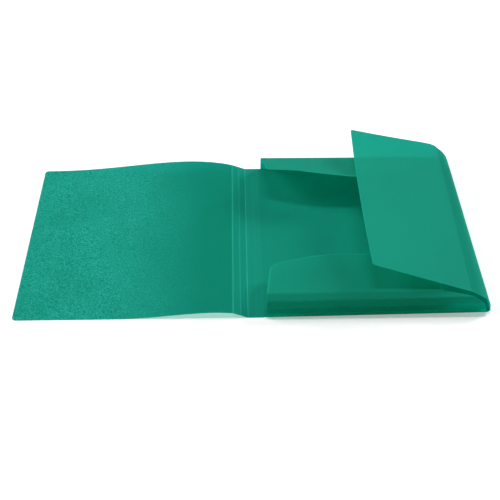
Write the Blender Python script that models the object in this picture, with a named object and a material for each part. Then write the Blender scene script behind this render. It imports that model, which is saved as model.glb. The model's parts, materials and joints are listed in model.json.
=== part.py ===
"""Three-flap document folder, die-cut and creased from one plastic sheet, with corner elastics.

The folder lies open on a table: the front cover is turned over to the left, the back cover carries
three folded flaps, and a short elastic crosses each fore-edge corner on the outside of the back
cover. Metres, +Z up, +X towards the fore edge, +Y towards the top edge. Each panel between two
creases is an object of its own, hinged on the crease at the middle of the sheet's thickness.
"""
import math

import bmesh
import bpy
from mathutils import Matrix, Vector

# Sheet
SHEET_THICKNESS = 0.0005
CLEARANCE = 0.0003

# A crease folds past square because its gap and its thinned edges grow with the sheet's thickness
CREASE_GAP = 0.8 * SHEET_THICKNESS
EDGE_CHAMFER = 0.34 * SHEET_THICKNESS

# Covers and spine
COVER_HEIGHT = 0.315
FRONT_COVER_REACH = 0.2346
BACK_COVER_WIDTH = 0.2402
SPINE_STRIP_WIDTH = 0.0084
COVER_CORNER_RADIUS = 0.005
BACK_CORNER_RADIUS = 0.004

# Gussets and flaps
SIDE_GUSSET_STRIP_WIDTH = 0.0085
END_GUSSET_STEP = 0.0005
END_GUSSET_STRIP_WIDTH = SIDE_GUSSET_STRIP_WIDTH - END_GUSSET_STEP
END_GUSSET_SPINE_SETBACK = 0.003
END_GUSSET_FORE_EDGE_SETBACK = 0.005
END_FLAP_DEPTH = 0.0895
END_FLAP_SPINE_SETBACK = 0.0035
END_FLAP_FORE_EDGE_SETBACK = 0.05
END_FLAP_SLANT = 0.006
END_FLAP_CORNER_RADIUS = 0.008
END_FLAP_BOW = 0.03
END_FLAP_BOW_LENGTH = 0.084
SIDE_GUSSET_SETBACK = 0.006
SIDE_FLAP_WIDTH = 0.1115
SIDE_FLAP_SLANT = 0.0015
SIDE_FLAP_CORNER_RADIUS = 0.003
SIDE_FLAP_BULGE = 0.004

# Corner elastics and their end barbs
ELASTIC_DIAMETER = 0.0022
ELASTIC_REACH = 0.06
ELASTIC_INNER_BEND = 0.0004
HOLE_MARGIN = 0.011
HOLE_CLEARANCE = 0.0004
BARB_LENGTH = 0.014
BARB_DIAMETER = 0.0022
BARB_WAIST_DEPTH = 0.0002
BARB_WAIST_LENGTH = 0.004
BARB_TIP_ROUNDING = 0.0004

# How the open folder stands, in degrees turned up from flat, from the back cover outwards
SPINE_STRIP_ANGLES = (0.0, 0.0, 21.0, 20.0)
FRONT_COVER_ANGLE = 0.0
BOTTOM_STRIP_ANGLES_AT_SPINE = (60.0, 85.0, 110.0, 140.0)
BOTTOM_STRIP_ANGLES_AT_FORE_EDGE = (60.0, 86.0, 112.0, 163.0)
BOTTOM_FLAP_ANGLE = 187.0
TOP_STRIP_ANGLES_AT_SPINE = (100.0, 115.0, 132.0, 150.0)
TOP_STRIP_ANGLES_AT_FORE_EDGE = (104.0, 126.0, 146.0, 165.0)
TOP_FLAP_ANGLE_AT_SPINE = 158.0
TOP_FLAP_ANGLE_AT_FORE_EDGE = 169.0
SIDE_STRIP_ANGLES_AT_BOTTOM = (92.0, 122.0, 151.0, 160.0)
SIDE_STRIP_ANGLES_AT_TOP = (107.0, 112.0, 128.0, 140.0)
SIDE_FLAP_ANGLE_AT_BOTTOM = 161.0
SIDE_FLAP_ANGLE_AT_TOP = 165.2

# Bow of the front cover: it leaves the spine raised and comes down to the table
BOW_LENGTH_BOTTOM = 0.135
BOW_LENGTH_TOP = 0.234
BOW_SLOPE_BOTTOM = 0.22
BOW_SLOPE_TOP = 0.315
BOW_FADE = 2.5

# Facets
ARC_STEPS = 4
STRIP_COLUMNS = 6
FLAP_COLUMNS = 24
FLAP_ROWS = 6
COVER_COLUMNS = 10
COVER_ROWS = 16
ROUND_STEPS = 16
ELASTIC_SPACING = 2.5 * ELASTIC_DIAMETER
ELASTIC_BEND_RADIUS = ELASTIC_DIAMETER / 2.0 + ELASTIC_INNER_BEND
RIM_ANGLE = math.radians(60.0)

# Directions across a crease, as a turn about +Z from +X
TOWARDS_FORE_EDGE = 0.0
TOWARDS_TOP = math.radians(90.0)
TOWARDS_SPINE = math.radians(180.0)
TOWARDS_BOTTOM = math.radians(-90.0)

# The elastics lift the fore edge of the back cover off the table
BACK_TILT = math.asin((ELASTIC_DIAMETER + CLEARANCE) / (BACK_COVER_WIDTH - ELASTIC_REACH))


def principled_material(name, colour, roughness, metallic):
    """Plain material of one colour."""
    material = bpy.data.materials.new(name)
    material.use_nodes = True
    shader = material.node_tree.nodes["Principled BSDF"]
    shader.inputs["Base Color"].default_value = (*colour, 1.0)
    shader.inputs["Roughness"].default_value = roughness
    shader.inputs["Metallic"].default_value = metallic
    return material


def place(obj, parent, frame):
    """Link an object under its parent, at a frame given in the parent's own axes."""
    bpy.context.scene.collection.objects.link(obj)
    obj.parent = parent
    obj.matrix_basis = frame
    return obj


def frame_at(location, heading=0.0, fold=0.0):
    """Frame at a place, turned about Z to a heading and then folded up about its own Y axis."""
    return Matrix.Translation(location) @ Matrix.Rotation(heading, 4, "Z") @ Matrix.Rotation(-fold, 4, "Y")


def thicken(obj):
    """Give a middle surface the sheet's thickness and the thinned edges that a crease needs."""
    solidify = obj.modifiers.new("sheet", "SOLIDIFY")
    solidify.thickness = SHEET_THICKNESS
    solidify.offset = 0.0
    solidify.use_even_offset = True
    bevel = obj.modifiers.new("thin_edges", "BEVEL")
    bevel.width = EDGE_CHAMFER
    bevel.segments = 1
    bevel.limit_method = "ANGLE"
    bevel.angle_limit = RIM_ANGLE


def sheet_object(name, grid, material):
    """Sheet panel over a grid of middle-surface points, rows across the panel and columns along it."""
    shape = bmesh.new()
    rows = [[shape.verts.new(point) for point in row] for row in grid]
    for near_row, far_row in zip(rows, rows[1:]):
        for column in range(len(near_row) - 1):
            shape.faces.new((near_row[column], far_row[column], far_row[column + 1], near_row[column + 1]))
    return finish_sheet(name, shape, material)


def outline_object(name, outline, material):
    """Flat sheet panel inside an outline that runs anticlockwise."""
    shape = bmesh.new()
    shape.faces.new([shape.verts.new((x, y, 0.0)) for x, y in outline])
    return finish_sheet(name, shape, material)


def finish_sheet(name, shape, material):
    """Turn a middle surface into a named sheet object."""
    mesh = bpy.data.meshes.new(name)
    shape.to_mesh(mesh)
    shape.free()
    mesh.materials.append(material)
    obj = bpy.data.objects.new(name, mesh)
    thicken(obj)
    return obj


def chain_creases(width, length, near_angles, far_angles):
    """Both ends of every crease of a folded chain of strips, in the frame of its first crease.

    The strips may stand at other angles at the near end, at the smallest Y, than at the far end.
    """
    ends = []
    for end, angles in ((-length / 2.0, near_angles), (length / 2.0, far_angles)):
        points = [Vector((0.0, end, 0.0))]
        for angle in angles:
            points.append(points[-1] + width * direction(angle))
        ends.append(points)
    return list(zip(*ends))


def direction(angle):
    """Unit step across a crease, turned up from flat by an angle in degrees."""
    return Vector((math.cos(math.radians(angle)), 0.0, math.sin(math.radians(angle))))


def crease_frame(crease, outward):
    """Frame on the middle of a crease: Y along it, X across it, Z on the inner side of the sheet."""
    near, far = crease
    along = (far - near).normalized()
    across = (outward - along * outward.dot(along)).normalized()
    frame = Matrix((across, along, across.cross(along))).transposed().to_4x4()
    frame.translation = (near + far) / 2.0
    return frame


def strip_grid(crease, next_crease, cuts, next_cuts):
    """Middle surface of a strip between two creases, each cut back by its own share at both ends."""
    inner_row = []
    outer_row = []
    for column in range(STRIP_COLUMNS + 1):
        share = column / STRIP_COLUMNS
        inner = crease[0].lerp(crease[1], cuts[0] + (1.0 - cuts[0] - cuts[1]) * share)
        outer = next_crease[0].lerp(next_crease[1], next_cuts[0] + (1.0 - next_cuts[0] - next_cuts[1]) * share)
        gap = (outer - inner).normalized() * CREASE_GAP / 2.0
        inner_row.append(inner + gap)
        outer_row.append(outer - gap)
    return [inner_row, outer_row]


def fold_chain(name, parent, base, width, length, near_angles, far_angles, cut_back, material):
    """Chain of strips, each hinged on the one before it and with its ends slanting in.

    Args: cut_back is how far the last crease is cut back at its near end and at its far end.
    Returns: the last strip and a function giving the frame, under it, of a flap at a mean angle.
    """
    creases = chain_creases(width, length, near_angles, far_angles)
    steps = len(near_angles)
    carrier = parent
    carrier_frame = Matrix.Identity(4)
    for number, (crease, next_crease) in enumerate(zip(creases, creases[1:]), start=1):
        outward = sum(next_crease, Vector()) - sum(crease, Vector())
        frame = crease_frame(crease, outward)
        cuts = [cut / length * (number - 1) / steps for cut in cut_back]
        next_cuts = [cut / length * number / steps for cut in cut_back]
        to_strip = frame.inverted()
        grid = [[to_strip @ point for point in row] for row in strip_grid(crease, next_crease, cuts, next_cuts)]
        strip = sheet_object(f"{name}_{number}", grid, material)
        place(strip, carrier, carrier_frame.inverted() @ base @ frame)
        carrier = strip
        carrier_frame = base @ frame

    def flap_frame(angle):
        """Frame of the panel beyond the last crease, under the last strip."""
        return carrier_frame.inverted() @ base @ crease_frame(creases[-1], direction(angle))

    return carrier, flap_frame


def panel_rows(reach, corner_radius, steps):
    """Distances from crease to free edge, each with the inset of the rounded corners there."""
    inner = CREASE_GAP / 2.0
    straight = reach - corner_radius
    rows = [(inner + (straight - inner) * step / steps, 0.0) for step in range(steps)]
    for step in range(ARC_STEPS + 1):
        angle = math.radians(90.0) * step / ARC_STEPS
        rows.append((straight + corner_radius * math.sin(angle), corner_radius * (1.0 - math.cos(angle))))
    return rows


def flap_grid(start, end, depth, slant, corner_radius, twist, bow=0.0, bow_run=1.0, bulge=0.0):
    """Middle surface of a flap whose ends slant in and whose free edge bows back towards both ends.

    The flap is turned by half the twist, in degrees, up at its far end and down at its near end, and
    its far end bulges to the outer side.
    """
    grid = []
    for reach, inset in panel_rows(depth, corner_radius, FLAP_ROWS):
        share = reach / depth
        low = start + slant * share + inset
        high = end - slant * share - inset
        row = []
        for column in range(FLAP_COLUMNS + 1):
            along = low + (high - low) * column / FLAP_COLUMNS
            end_distance = min(along - start, end - along)
            drop = bow * max(0.0, 1.0 - end_distance / bow_run) ** 2
            across = reach - drop * share
            far_share = (along - start) / (end - start)
            turn = math.radians(twist) * (far_share - 0.5)
            swell = 4.0 * bulge * far_share * share * (1.0 - share)
            row.append((across * math.cos(turn), along, across * math.sin(turn) - swell))
        grid.append(row)
    return grid


def front_cover_grid(spine_rise):
    """Middle surface of the front cover, bowed up beside the spine and flat on the table beyond."""
    half = COVER_HEIGHT / 2.0
    grid = []
    for reach, inset in panel_rows(FRONT_COVER_REACH, COVER_CORNER_RADIUS, COVER_ROWS):
        row = []
        for column in range(COVER_COLUMNS + 1):
            along = (half - inset) * (2.0 * column / COVER_COLUMNS - 1.0)
            top_share = 0.5 - along / COVER_HEIGHT
            run = BOW_LENGTH_BOTTOM + (BOW_LENGTH_TOP - BOW_LENGTH_BOTTOM) * top_share
            slope = BOW_SLOPE_BOTTOM + (BOW_SLOPE_TOP - BOW_SLOPE_BOTTOM) * top_share
            height = max(0.0, 1.0 - reach / run) ** BOW_FADE * (spine_rise + slope * reach)
            row.append((reach, along, height - spine_rise))
        grid.append(row)
    return grid


def back_cover_outline():
    """Outline of the back cover: square at the spine, rounded at the fore edge."""
    inner = CREASE_GAP / 2.0
    outer = BACK_COVER_WIDTH - CREASE_GAP / 2.0
    half = (COVER_HEIGHT - CREASE_GAP) / 2.0
    arc = []
    for step in range(ARC_STEPS + 1):
        angle = math.radians(90.0) * step / ARC_STEPS
        arc.append((outer - BACK_CORNER_RADIUS * (1.0 - math.cos(angle)),
                    half - BACK_CORNER_RADIUS * (1.0 - math.sin(angle))))
    bottom_arc = [(x, -y) for x, y in reversed(arc)]
    return [(inner, -half), *bottom_arc, *arc, (inner, half)]


def elastic_holes(side):
    """Places of one elastic's two holes, by the bottom edge (-1) or the top edge (+1)."""
    half = COVER_HEIGHT / 2.0
    edge_hole = Vector((BACK_COVER_WIDTH - ELASTIC_REACH, side * (half - HOLE_MARGIN), 0.0))
    fore_hole = Vector((BACK_COVER_WIDTH - HOLE_MARGIN, side * (half - ELASTIC_REACH), 0.0))
    return edge_hole, fore_hole


def punch_hole(panel, name, centre):
    """Cut a round hole for an elastic through a panel."""
    shape = bmesh.new()
    radius = ELASTIC_DIAMETER / 2.0 + HOLE_CLEARANCE
    bmesh.ops.create_cone(shape, cap_ends=True, segments=ROUND_STEPS, radius1=radius, radius2=radius,
                          depth=4.0 * SHEET_THICKNESS)
    mesh = bpy.data.meshes.new(name)
    shape.to_mesh(mesh)
    shape.free()
    cutter = place(bpy.data.objects.new(name, mesh), panel, frame_at(centre))
    cutter.hide_render = True
    cutter.display_type = "WIRE"
    cut = panel.modifiers.new(name, "BOOLEAN")
    cut.operation = "DIFFERENCE"
    cut.object = cutter


def elastic_route(edge_hole, fore_hole):
    """Points of an elastic: down through one hole, along the outside of the cover, up the other."""
    top = SHEET_THICKNESS / 2.0
    run_height = -(SHEET_THICKNESS / 2.0 + CLEARANCE + ELASTIC_DIAMETER / 2.0)
    up = Vector((0.0, 0.0, 1.0))
    pull = (fore_hole - edge_hole).normalized()
    span = (fore_hole - edge_hole).length
    bend_centre = run_height + ELASTIC_BEND_RADIUS
    half_route = [(0.0, top)]
    for step in range(ARC_STEPS + 1):
        angle = math.radians(90.0) * step / ARC_STEPS
        half_route.append((ELASTIC_BEND_RADIUS * (1.0 - math.cos(angle)),
                           bend_centre - ELASTIC_BEND_RADIUS * math.sin(angle)))
    straight = span - 2.0 * ELASTIC_BEND_RADIUS
    pieces = max(1, round(straight / ELASTIC_SPACING))
    middle = [(ELASTIC_BEND_RADIUS + straight * step / pieces, run_height) for step in range(1, pieces)]
    far_half = [(span - along, height) for along, height in reversed(half_route)]
    return [edge_hole + pull * along + up * height for along, height in half_route + middle + far_half]


def elastic_object(name, route, material):
    """Round elastic cord along its route."""
    curve = bpy.data.curves.new(name, "CURVE")
    curve.dimensions = "3D"
    curve.bevel_depth = ELASTIC_DIAMETER / 2.0
    curve.bevel_resolution = 2
    curve.use_fill_caps = True
    spline = curve.splines.new("POLY")
    spline.points.add(len(route) - 1)
    for point, place_on_route in zip(spline.points, route):
        point.co = (*place_on_route, 1.0)
    curve.materials.append(material)
    return bpy.data.objects.new(name, curve)


def barb_object(name, material):
    """Metal bar that holds an elastic's end: a turned pin, waisted where the elastic is crimped in."""
    tip = BARB_LENGTH / 2.0
    rim = BARB_DIAMETER / 2.0
    waist = rim - BARB_WAIST_DEPTH
    waist_end = BARB_WAIST_LENGTH / 2.0
    shoulder = waist_end + BARB_WAIST_DEPTH
    half = [(waist_end, waist), (shoulder, rim), (tip - BARB_TIP_ROUNDING, rim),
            (tip, rim - BARB_TIP_ROUNDING), (tip, 0.0)]
    profile = [(-x, radius) for x, radius in reversed(half)] + half
    shape = bmesh.new()
    points = [shape.verts.new((x, 0.0, radius)) for x, radius in profile]
    edges = [shape.edges.new(pair) for pair in zip(points, points[1:])]
    bmesh.ops.spin(shape, geom=points + edges, cent=(0.0, 0.0, 0.0), axis=(1.0, 0.0, 0.0),
                   angle=math.radians(360.0), steps=ROUND_STEPS, use_duplicate=False)
    bmesh.ops.remove_doubles(shape, verts=shape.verts, dist=BARB_TIP_ROUNDING / 20.0)
    bmesh.ops.recalc_face_normals(shape, faces=shape.faces)
    mesh = bpy.data.meshes.new(name)
    shape.to_mesh(mesh)
    shape.free()
    mesh.shade_smooth()
    mesh.set_sharp_from_angle(angle=RIM_ANGLE / 2.0)
    mesh.materials.append(material)
    return bpy.data.objects.new(name, mesh)


def add_spine_and_front_cover(back_cover, sheet):
    """Four spine strips, level with the table at first, and the front cover that turns over with them."""
    base = frame_at((0.0, 0.0, 0.0), TOWARDS_SPINE, BACK_TILT)
    last_strip, cover_frame = fold_chain("spine_strip", back_cover, base, SPINE_STRIP_WIDTH, COVER_HEIGHT,
                                         SPINE_STRIP_ANGLES, SPINE_STRIP_ANGLES, (0.0, 0.0), sheet)
    spine_rise = sum(SPINE_STRIP_WIDTH * direction(angle).z for angle in SPINE_STRIP_ANGLES)
    front_cover = sheet_object("front_cover", front_cover_grid(spine_rise), sheet)
    place(front_cover, last_strip, cover_frame(FRONT_COVER_ANGLE))


def add_end_flap(name, back_cover, side, spine_angles, fore_angles, spine_flap_angle, fore_flap_angle, sheet):
    """Gusset and flap on the bottom edge (side -1) or the top edge (side +1) of the back cover."""
    start = END_GUSSET_SPINE_SETBACK
    end = BACK_COVER_WIDTH - END_GUSSET_FORE_EDGE_SETBACK
    middle = (start + end) / 2.0
    base = frame_at((middle, side * COVER_HEIGHT / 2.0, 0.0), TOWARDS_BOTTOM if side < 0 else TOWARDS_TOP)
    spine_cut = END_FLAP_SPINE_SETBACK - END_GUSSET_SPINE_SETBACK
    fore_cut = END_FLAP_FORE_EDGE_SETBACK - END_GUSSET_FORE_EDGE_SETBACK
    # Each end of the folder as (angles, flap angle, cut); the spine is at the near end of the bottom chain
    ends = [(spine_angles, spine_flap_angle, spine_cut), (fore_angles, fore_flap_angle, fore_cut)]
    near, far = ends if side < 0 else reversed(ends)
    last_strip, flap_frame = fold_chain(f"{name}_gusset_strip", back_cover, base, END_GUSSET_STRIP_WIDTH,
                                        end - start, near[0], far[0], (near[2], far[2]), sheet)
    half = (end - start) / 2.0
    grid = flap_grid(near[2] - half, half - far[2], END_FLAP_DEPTH, END_FLAP_SLANT, END_FLAP_CORNER_RADIUS,
                     far[1] - near[1], END_FLAP_BOW, END_FLAP_BOW_LENGTH)
    flap = sheet_object(f"{name}_flap", grid, sheet)
    place(flap, last_strip, flap_frame((near[1] + far[1]) / 2.0))


def add_side_flap(back_cover, sheet):
    """Gusset and flap on the fore edge of the back cover."""
    length = COVER_HEIGHT - 2.0 * SIDE_GUSSET_SETBACK
    base = frame_at((BACK_COVER_WIDTH, 0.0, 0.0), TOWARDS_FORE_EDGE)
    last_strip, flap_frame = fold_chain("side_gusset_strip", back_cover, base, SIDE_GUSSET_STRIP_WIDTH, length,
                                        SIDE_STRIP_ANGLES_AT_BOTTOM, SIDE_STRIP_ANGLES_AT_TOP, (0.0, 0.0), sheet)
    twist = SIDE_FLAP_ANGLE_AT_TOP - SIDE_FLAP_ANGLE_AT_BOTTOM
    grid = flap_grid(-length / 2.0, length / 2.0, SIDE_FLAP_WIDTH, SIDE_FLAP_SLANT, SIDE_FLAP_CORNER_RADIUS,
                     twist, bulge=SIDE_FLAP_BULGE)
    flap = sheet_object("side_flap", grid, sheet)
    place(flap, last_strip, flap_frame((SIDE_FLAP_ANGLE_AT_BOTTOM + SIDE_FLAP_ANGLE_AT_TOP) / 2.0))


def add_elastic(name, back_cover, side, cord, steel):
    """One corner elastic with its two barbs and their holes."""
    holes = dict(zip(("edge", "fore"), elastic_holes(side)))
    elastic = elastic_object(f"{name}_elastic", elastic_route(*holes.values()), cord)
    place(elastic, back_cover, Matrix.Identity(4))
    seat = Vector((0.0, 0.0, SHEET_THICKNESS / 2.0 + CLEARANCE + BARB_DIAMETER / 2.0))
    headings = {"edge": TOWARDS_FORE_EDGE, "fore": TOWARDS_TOP}
    for hole_name, centre in holes.items():
        punch_hole(back_cover, f"{name}_{hole_name}_hole", centre)
        barb = barb_object(f"{name}_elastic_{hole_name}_barb", steel)
        place(barb, back_cover, frame_at(centre + seat, headings[hole_name]))


def model_bounds():
    """Lowest and highest corners of every solid."""
    bpy.context.view_layer.update()
    depsgraph = bpy.context.evaluated_depsgraph_get()
    points = []
    for obj in bpy.data.objects:
        if obj.type not in {"MESH", "CURVE"} or obj.hide_render:
            continue
        evaluated = obj.evaluated_get(depsgraph)
        mesh = evaluated.to_mesh()
        points.extend(evaluated.matrix_world @ vertex.co for vertex in mesh.vertices)
        evaluated.to_mesh_clear()
    low = Vector([min(point[axis] for point in points) for axis in range(3)])
    high = Vector([max(point[axis] for point in points) for axis in range(3)])
    return low, high


def main():
    """Build the folder with its origin at the middle of its footprint, on the table."""
    for obj in list(bpy.data.objects):
        bpy.data.objects.remove(obj, do_unlink=True)

    sheet = principled_material("green_sheet", (0.006, 0.25, 0.16), 0.4, 0.0)
    cord = principled_material("green_elastic", (0.004, 0.11, 0.07), 0.8, 0.0)
    steel = principled_material("steel", (0.6, 0.6, 0.6), 0.3, 1.0)

    folder = place(bpy.data.objects.new("folder", None), None, Matrix.Identity(4))
    back_cover = outline_object("back_cover", back_cover_outline(), sheet)
    place(back_cover, folder, frame_at((0.0, 0.0, SHEET_THICKNESS / 2.0), fold=BACK_TILT))
    add_spine_and_front_cover(back_cover, sheet)
    add_end_flap("bottom", back_cover, -1, BOTTOM_STRIP_ANGLES_AT_SPINE, BOTTOM_STRIP_ANGLES_AT_FORE_EDGE,
                 BOTTOM_FLAP_ANGLE, BOTTOM_FLAP_ANGLE, sheet)
    add_end_flap("top", back_cover, 1, TOP_STRIP_ANGLES_AT_SPINE, TOP_STRIP_ANGLES_AT_FORE_EDGE,
                 TOP_FLAP_ANGLE_AT_SPINE, TOP_FLAP_ANGLE_AT_FORE_EDGE, sheet)
    add_side_flap(back_cover, sheet)
    add_elastic("bottom", back_cover, -1, cord, steel)
    add_elastic("top", back_cover, 1, cord, steel)

    low, high = model_bounds()
    folder.location = (-(low.x + high.x) / 2.0, -(low.y + high.y) / 2.0, -low.z)
    bpy.context.view_layer.update()


main()
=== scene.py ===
"""Looks of the open three-flap document folder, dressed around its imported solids.

Each panel of the folder is a smooth sheet solid worked out on a numpy grid from the same sizes as the
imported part. A panel rides on the body that carries it, and a thin web bends across every crease that
moves. Metres, +X towards the fore edge, +Y towards the top edge, +Z up.
"""
import json
import logging
import math
from dataclasses import dataclass, field
from enum import Enum

import bpy
import numpy as np
from mathutils import Matrix, Vector

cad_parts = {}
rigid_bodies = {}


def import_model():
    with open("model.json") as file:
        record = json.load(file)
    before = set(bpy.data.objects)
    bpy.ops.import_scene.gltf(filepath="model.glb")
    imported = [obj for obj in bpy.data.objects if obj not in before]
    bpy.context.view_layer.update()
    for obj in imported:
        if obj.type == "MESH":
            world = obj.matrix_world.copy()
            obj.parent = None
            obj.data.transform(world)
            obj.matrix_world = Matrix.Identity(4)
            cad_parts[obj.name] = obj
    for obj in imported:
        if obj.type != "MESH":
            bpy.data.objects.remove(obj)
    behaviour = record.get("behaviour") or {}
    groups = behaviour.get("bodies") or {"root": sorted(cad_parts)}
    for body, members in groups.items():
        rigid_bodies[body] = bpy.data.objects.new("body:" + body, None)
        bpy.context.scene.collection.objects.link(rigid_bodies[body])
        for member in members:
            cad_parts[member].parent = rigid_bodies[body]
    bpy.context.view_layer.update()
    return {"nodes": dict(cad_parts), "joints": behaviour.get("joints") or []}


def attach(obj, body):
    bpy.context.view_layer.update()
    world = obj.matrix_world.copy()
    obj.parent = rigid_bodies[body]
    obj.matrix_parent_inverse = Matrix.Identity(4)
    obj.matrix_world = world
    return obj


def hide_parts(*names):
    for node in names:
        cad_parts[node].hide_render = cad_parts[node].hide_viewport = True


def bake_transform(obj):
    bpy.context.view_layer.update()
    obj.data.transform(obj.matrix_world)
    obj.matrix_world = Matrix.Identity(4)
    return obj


LOG = logging.getLogger("folder")
# Attribute of stress whitening along creases and score lines, which also carries painted light: the
# painted glow of cut edges and painted highlights.
WHITENING_AND_PAINTED_LIGHT = "whitening"
SHARP_ANGLE = math.radians(50.0)
# Distances of the close rows beside a crease, in tapers of the crease.
CLOSE_ROWS = (0.0, 0.4, 0.8, 1.3, 2.0, 3.0, 4.5)
# Number of close columns at each cut edge.
CLOSE_COLUMNS = 3

Array = np.ndarray
Colour = tuple[float, float, float]
Opaque = tuple[float, float, float, float]
Material = bpy.types.Material
Socket = bpy.types.NodeSocket


class Side(Enum):
    """The two ends of the back cover that carry an end flap and an elastic."""

    BOTTOM = -1
    TOP = 1

    @property
    def word(self) -> str:
        """Name of this end in the names of pieces."""
        return self.name.lower()


class Heading(Enum):
    """Directions across a crease, as a turn in degrees about +Z from +X."""

    FORE_EDGE = 0.0
    TOP = 90.0
    SPINE = 180.0
    BOTTOM = -90.0


def falloff(distance: Array, reach: float) -> Array:
    """Bell curve of a distance, exp(-(distance / reach) ** 2)."""
    return np.exp(-((distance / reach) ** 2))


@dataclass(frozen=True)
class SheetStock:
    """The plastic sheet and the way that it is creased.

    A crease is a pressed line: the sheet tapers to crease_thickness over crease_taper on both sides of
    it, and a fixed crease turns within bend_reach of its line. Cut edges get a little painted glow, a
    whitening that stands for light leaving them.
    """

    thickness: float = 0.0005
    crease_thickness: float = 0.00022
    crease_taper: float = 0.00035
    crease_gap: float = 0.0004
    web_reach: float = 0.00026
    bend_reach: float = 0.0007
    rim_round: float = 0.00008
    whitening_reach: float = 0.0006
    # Strength of the painted glow at cut edges.
    edge_glow: float = 0.5
    edge_glow_reach: float = 0.0006

    def profile(self, distance: Array) -> Array:
        """Half thickness of the sheet at a distance from a crease, rising by a bell curve to full.

        Args:
            distance: distances from the nearest crease.
        Returns:
            half thicknesses, in the same shape.
        """
        thinning = (self.thickness - self.crease_thickness) * falloff(distance, self.crease_taper)
        return 0.5 * (self.thickness - thinning)

    def whitening(self, distance: Array, strength: Array) -> Array:
        """Stress whitening beside a pressed line, falling off by a bell curve.

        Args:
            distance: distances from the line.
            strength: whitening on the line itself.
        Returns:
            whitening from 0 to strength, in the same shape.
        """
        return strength * falloff(distance, self.whitening_reach)

    def glow(self, distance: Array, reach: float) -> Array:
        """Whitening that stands for the light leaving a cut edge, a bell curve of the distance from it.

        Args:
            distance: distances from the nearest cut edge.
            reach: distance at which the curve has fallen to 1 / e.
        Returns:
            whitening from 0 to the edge's own, in the same shape.
        """
        return self.edge_glow * falloff(distance, reach)


STOCK = SheetStock()


def unit(vectors: Array) -> Array:
    """Vectors along the last axis, scaled to length one."""
    return vectors / np.linalg.norm(vectors, axis=-1, keepdims=True)


def turned(heading: Heading, fold: float = 0.0) -> Array:
    """Axes of a crease: turned about +Z to a heading, then folded up about its own Y axis.

    Args:
        heading: direction across the crease.
        fold: angle in radians that X is turned up from flat.
    Returns:
        3 by 3 matrix with the axes as columns.
    """
    matrix = Matrix.Rotation(math.radians(heading.value), 3, "Z") @ Matrix.Rotation(-fold, 3, "Y")
    return np.array(matrix)


def step_up(angles: Array) -> Array:
    """Unit steps in the XZ plane, turned up from flat by angles in degrees."""
    radians = np.radians(angles)
    return np.stack([np.cos(radians), np.zeros_like(radians), np.sin(radians)], axis=-1)


def crease_axes(near: Array, far: Array, outward: Array) -> Array:
    """Axes of a crease: Y along it, X across it towards outward, Z on the inner side of the sheet.

    Args:
        near: near end of the crease.
        far: far end of the crease.
        outward: rough direction across the crease.
    Returns:
        3 by 3 matrix with the axes as columns.
    """
    along = unit(far - near)
    across = unit(outward - along * (outward @ along))
    return np.stack([across, along, np.cross(across, along)], axis=-1)


def respread(values: Array, count: int) -> Array:
    """Unit vectors along a line, taken at another number of even places.

    Args:
        values: unit vectors, one row each.
        count: number of rows wanted.
    Returns:
        unit vectors, one row for each place.
    """
    places = np.linspace(0.0, len(values) - 1.0, count)
    low = np.minimum(places.astype(int), len(values) - 2)
    share = (places - low)[:, None]
    return unit(values[low] * (1.0 - share) + values[low + 1] * share)


def spread(start: float, stop: float, spacing: float) -> Array:
    """Even steps from start to stop, no further apart than the spacing."""
    return np.linspace(start, stop, max(2, math.ceil((stop - start) / spacing) + 1))


def crease_spread(start: float, stop: float, spacing: float, fine_stop: bool) -> Array:
    """Distances across a panel, close together beside its creases and wider between them.

    Args:
        start: first distance, beside a crease.
        stop: last distance.
        spacing: widest step.
        fine_stop: whether a crease lies at the stop.
    Returns:
        rising distances.
    """
    fine = STOCK.crease_taper * np.array(CLOSE_ROWS)
    first = start + fine
    last = stop - fine[::-1] if fine_stop else np.array([stop])
    return np.concatenate([first[:-1], spread(first[-1], last[0], spacing), last[1:]])


def edge_spread(count: int, edge_share: float) -> Array:
    """Shares from 0 to 1 with close steps at both ends, so that a cut edge's glow stays narrow.

    Args:
        count: number of even steps between the ends.
        edge_share: size of a close step.
    Returns:
        rising shares.
    """
    close = edge_share * np.arange(CLOSE_COLUMNS)
    margin = edge_share * CLOSE_COLUMNS
    middle = np.linspace(margin, 1.0 - margin, count)
    return np.concatenate([close, middle, 1.0 - close[::-1]])


def add_object(name: str, points: Array, faces: list, material: Material) -> bpy.types.Object:
    """Make a smooth mesh object at the origin, sharp only at its cut edges.

    Args:
        name: name of the piece.
        points: vertices, one row each.
        faces: faces as lists of vertex numbers.
        material: finish of the piece.
    Returns:
        the linked object.
    """
    mesh = bpy.data.meshes.new(name)
    mesh.from_pydata(points.tolist(), [], faces)
    mesh.materials.append(material)
    mesh.shade_smooth()
    mesh.set_sharp_from_angle(angle=SHARP_ANGLE)
    obj = bpy.data.objects.new(name, mesh)
    bpy.context.scene.collection.objects.link(obj)
    return obj


def grid_quads(rows: int, columns: int, wrap: bool = False) -> Array:
    """Quads of a grid of vertices numbered row by row.

    Args:
        rows: number of rows.
        columns: number of columns.
        wrap: whether the last column joins the first one.
    Returns:
        quads as rows of four vertex numbers.
    """
    numbers = np.arange(rows * columns).reshape(rows, columns)
    beside = np.roll(numbers, -1, axis=1)
    last = columns if wrap else columns - 1
    corners = (numbers[:-1, :last], numbers[1:, :last], beside[1:, :last], beside[:-1, :last])
    return np.stack([corner.ravel() for corner in corners], axis=-1)


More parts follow.
